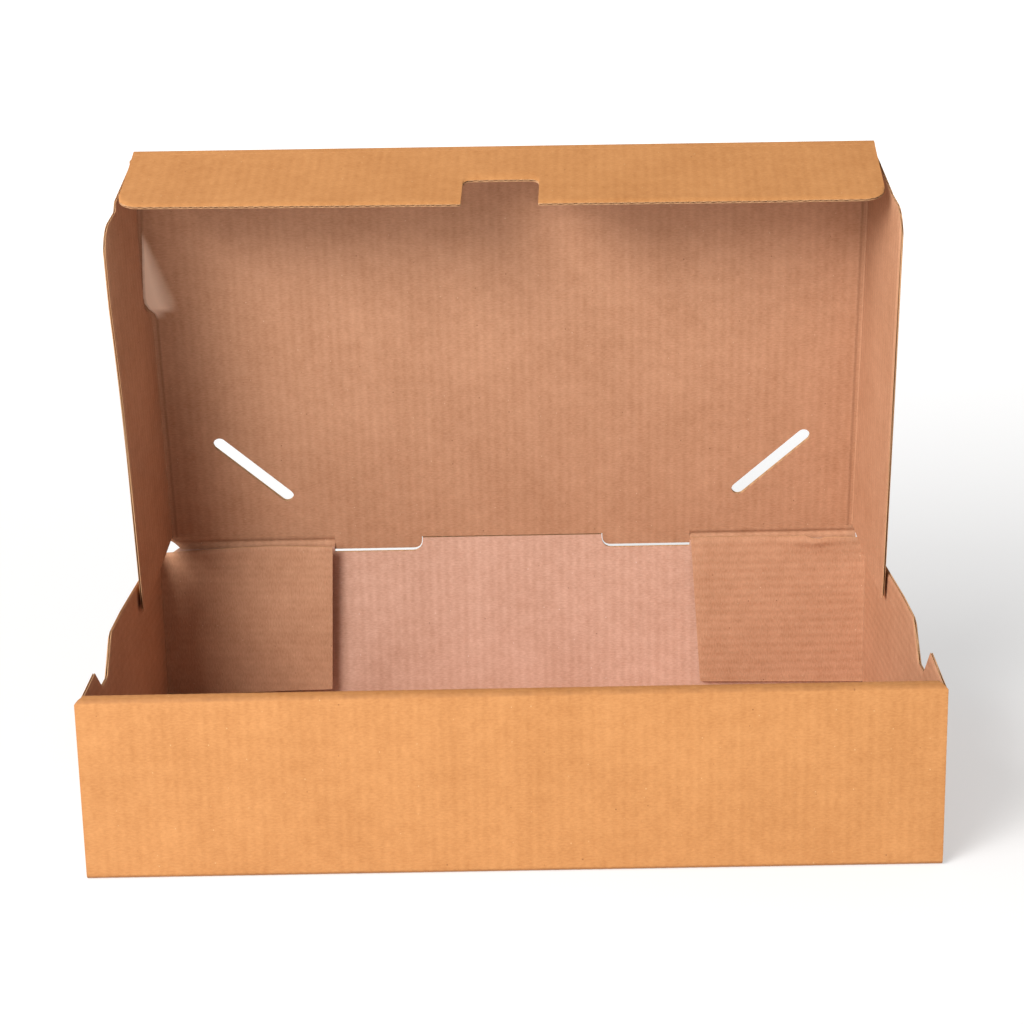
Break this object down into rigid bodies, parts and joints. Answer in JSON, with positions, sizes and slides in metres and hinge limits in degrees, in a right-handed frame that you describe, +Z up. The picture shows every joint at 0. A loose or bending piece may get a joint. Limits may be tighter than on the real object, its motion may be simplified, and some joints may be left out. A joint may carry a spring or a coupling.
{
  "type": "takeaway food box",
  "caption": "Folded corrugated takeaway food box with a hinged lid, side wings, a front tuck flap with a thumb notch, and a rolled front wall.",
  "frame": {"origin": "centre of the base's underside", "axes": "+X to the right seen from the front, -Y out of the rolled front wall, +Z up"},
  "size_m": [0.28, 0.17, 0.2229],
  "materials": {
    "kraft_board": "matt kraft liner"
  },
  "bodies": {
    "tray": {"tray": "kraft_board"},
    "lid": {"lid": "kraft_board"},
    "tuck_flap": {"tuck_flap": "kraft_board"}
  },
  "joints": [
    {"name": "lid_hinge", "type": "hinge", "parent": "tray", "child": "lid", "pos_m": [0, 0.0837, 0.0672], "axis": [1, 0, 0], "range_deg": [-100, 75]},
    {"name": "tuck_flap_hinge", "type": "hinge", "parent": "lid", "child": "tuck_flap", "pos_m": [0, 0.04219, 0.22213], "axis": [1, 0, 0], "range_deg": [-97, 0]}
  ]
}
